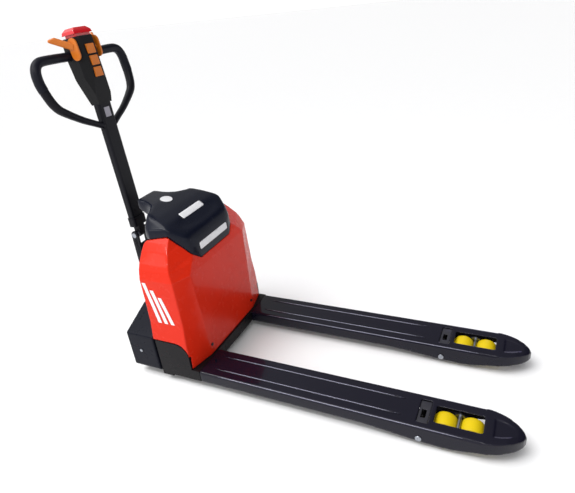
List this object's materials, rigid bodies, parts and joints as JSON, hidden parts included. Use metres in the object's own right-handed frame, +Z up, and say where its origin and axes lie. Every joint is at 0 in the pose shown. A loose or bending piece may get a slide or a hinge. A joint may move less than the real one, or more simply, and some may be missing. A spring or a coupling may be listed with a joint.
{
  "type": "electric pallet truck",
  "caption": "Walk-behind electric pallet truck with low forks, covered power end, steered drive wheel and a loop-handled tiller.",
  "frame": {"origin": "on the floor under the middle of the truck's box, halfway between the fork tips and the rearmost point of the tiller head", "axes": "+X towards the fork tips, +Y to the left of a driver facing the forks, +Z up"},
  "size_m": [1.6387, 0.575, 1.3232],
  "materials": {
    "frame_paint": "satin black powder coat",
    "tail_paint": "satin black powder coat",
    "tiller_paint": "satin black",
    "grip_rubber": "soft satin",
    "head_plastic": "matte",
    "cover_red": "gloss",
    "cover_black": "satin gloss",
    "orange_plastic": "satin",
    "button_red": "gloss",
    "zinc": "zinc plated",
    "chromed_rod": "polished",
    "wheel_yellow": "satin polyurethane",
    "wheel_hub": "turned",
    "drive_rubber": "matte polyurethane",
    "machine_grey": "painted casting",
    "brake_black": "matte",
    "battery_case": "satin",
    "heatsink": "cast",
    "screw_black": "black oxide",
    "badge_white": "gloss",
    "plate_grey": "satin"
  },
  "bodies": {
    "chassis": {"tail_housing": "tail_paint", "chassis_deck": "frame_paint", "slew_ring": "machine_grey", "cylinder_barrel": "machine_grey", "pump_unit": "machine_grey", "tail_bolts": "zinc"},
    "steering": {"drive_housing": "machine_grey", "drive_motor": "machine_grey", "motor_brake": "brake_black", "tiller_yoke": "frame_paint", "tiller_pin": "zinc", "return_springs": "zinc"},
    "drive_wheel": {"drive_tyre": "drive_rubber", "drive_hub": "wheel_hub"},
    "tiller": {"tiller_tube": "tiller_paint", "tiller_socket": "tiller_paint", "handle_loop": "tiller_paint", "handle_grips": "grip_rubber", "head_front": "head_plastic", "head_rear": "head_plastic", "neck_plate": "plate_grey"},
    "throttle": {"throttle_wings": "orange_plastic"},
    "belly": {"belly_button": "button_red"},
    "lift_key": {"lift_button": "orange_plastic"},
    "lower_key": {"lower_button": "orange_plastic"},
    "horn_key": {"horn_button": "orange_plastic"},
    "fork_frame": {"fork_right": "frame_paint", "fork_left": "frame_paint", "fork_bridge": "frame_paint", "lift_beam": "frame_paint", "battery_pack": "battery_case", "controller": "heatsink", "rear_panel": "frame_paint", "lower_cover": "cover_red", "top_cover": "cover_black", "cover_screws": "screw_black", "blank_badges": "badge_white", "side_stripes": "badge_white", "crown_disc": "badge_white", "cylinder_rod": "chromed_rod", "arm_pins": "zinc"},
    "rocker": {"rocker_shaft": "frame_paint"},
    "push_rod_right": {"push_rod_right": "frame_paint"},
    "arm_right": {"swing_arm_right": "frame_paint"},
    "tandem_right": {"tandem_right": "zinc"},
    "load_wheel_right_front": {"load_tyre_right_front": "wheel_yellow", "load_hub_right_front": "wheel_hub"},
    "load_wheel_right_rear": {"load_tyre_right_rear": "wheel_yellow", "load_hub_right_rear": "wheel_hub"},
    "push_rod_left": {"push_rod_left": "frame_paint"},
    "arm_left": {"swing_arm_left": "frame_paint"},
    "tandem_left": {"tandem_left": "zinc"},
    "load_wheel_left_front": {"load_tyre_left_front": "wheel_yellow", "load_hub_left_front": "wheel_hub"},
    "load_wheel_left_rear": {"load_tyre_left_rear": "wheel_yellow", "load_hub_left_rear": "wheel_hub"}
  },
  "joints": [
    {"name": "steer", "type": "hinge", "parent": "chassis", "child": "steering", "pos_m": [-0.6, 0, 0.24], "axis": [0, 0, 1], "range_deg": [-90, 90]},
    {"name": "drive_wheel_spin", "type": "hinge", "parent": "steering", "child": "drive_wheel", "pos_m": [-0.6, 0, 0.105], "axis": [0, 1, 0], "continuous": true},
    {"name": "tiller_fold", "type": "hinge", "parent": "steering", "child": "tiller", "pos_m": [-0.72, 0, 0.515], "axis": [0, -1, 0], "range_deg": [0, 70], "stiffness_Nm_per_rad": 22, "springref_deg": -68.75},
    {"name": "throttle_turn", "type": "hinge", "parent": "tiller", "child": "throttle", "pos_m": [-0.74971, 0, 1.25212], "axis": [0, 1, 0], "range_deg": [-15, 15], "stiffness_Nm_per_rad": 0.6},
    {"name": "belly_push", "type": "slide", "parent": "tiller", "child": "belly", "axis": [0.1132, 0, -0.9936], "range_m": [0, 0.008], "stiffness_N_per_m": 900, "springref_m": -0.004},
    {"name": "lift_press", "type": "slide", "parent": "tiller", "child": "lift_key", "axis": [-0.9936, 0, -0.1132], "range_m": [0, 0.0025], "stiffness_N_per_m": 800, "springref_m": -0.0015},
    {"name": "lower_press", "type": "slide", "parent": "tiller", "child": "lower_key", "axis": [-0.9936, 0, -0.1132], "range_m": [0, 0.0025], "stiffness_N_per_m": 800, "springref_m": -0.0015},
    {"name": "horn_press", "type": "slide", "parent": "tiller", "child": "horn_key", "axis": [-0.9936, 0, -0.1132], "range_m": [0, 0.0025], "stiffness_N_per_m": 800, "springref_m": -0.0015},
    {"name": "fork_lift", "type": "slide", "parent": "chassis", "child": "fork_frame", "axis": [0, 0, 1], "range_m": [0, 0.105]},
    {"name": "rocker_turn", "type": "hinge", "parent": "fork_frame", "child": "rocker", "pos_m": [-0.375, 0, 0.09188], "axis": [0, -1, 0], "range_deg": [0, 51.91]},
    {"name": "push_rod_slide_right", "type": "slide", "parent": "fork_frame", "child": "push_rod_right", "axis": [1, 0, 0], "range_m": [0, 0.02579]},
    {"name": "arm_swing_right", "type": "hinge", "parent": "fork_frame", "child": "arm_right", "pos_m": [0.513, -0.21, 0.036], "axis": [0, 1, 0], "range_deg": [0, 54.81]},
    {"name": "tandem_level_right", "type": "hinge", "parent": "arm_right", "child": "tandem_right", "pos_m": [0.627, -0.21, 0.064], "axis": [0, 1, 0], "range_deg": [-54.81, 0]},
    {"name": "load_wheel_spin_right_front", "type": "hinge", "parent": "tandem_right", "child": "load_wheel_right_front", "pos_m": [0.669, -0.21, 0.04], "axis": [0, 1, 0], "continuous": true},
    {"name": "load_wheel_spin_right_rear", "type": "hinge", "parent": "tandem_right", "child": "load_wheel_right_rear", "pos_m": [0.585, -0.21, 0.04], "axis": [0, 1, 0], "continuous": true},
    {"name": "push_rod_slide_left", "type": "slide", "parent": "fork_frame", "child": "push_rod_left", "axis": [1, 0, 0], "range_m": [0, 0.02579]},
    {"name": "arm_swing_left", "type": "hinge", "parent": "fork_frame", "child": "arm_left", "pos_m": [0.513, 0.21, 0.036], "axis": [0, 1, 0], "range_deg": [0, 54.81]},
    {"name": "tandem_level_left", "type": "hinge", "parent": "arm_left", "child": "tandem_left", "pos_m": [0.627, 0.21, 0.064], "axis": [0, 1, 0], "range_deg": [-54.81, 0]},
    {"name": "load_wheel_spin_left_front", "type": "hinge", "parent": "tandem_left", "child": "load_wheel_left_front", "pos_m": [0.669, 0.21, 0.04], "axis": [0, 1, 0], "continuous": true},
    {"name": "load_wheel_spin_left_rear", "type": "hinge", "parent": "tandem_left", "child": "load_wheel_left_rear", "pos_m": [0.585, 0.21, 0.04], "axis": [0, 1, 0], "continuous": true}
  ],
  "couplings": [
    {"joint": "rocker_turn", "follows": "fork_lift", "rad_per_m": 8.6251},
    {"joint": "push_rod_slide_right", "follows": "fork_lift", "ratio": 0.2454},
    {"joint": "arm_swing_right", "follows": "fork_lift", "rad_per_m": 9.1074},
    {"joint": "tandem_level_right", "follows": "fork_lift", "rad_per_m": -9.1074},
    {"joint": "push_rod_slide_left", "follows": "fork_lift", "ratio": 0.2454},
    {"joint": "arm_swing_left", "follows": "fork_lift", "rad_per_m": 9.1074},
    {"joint": "tandem_level_left", "follows": "fork_lift", "rad_per_m": -9.1074}
  ]
}
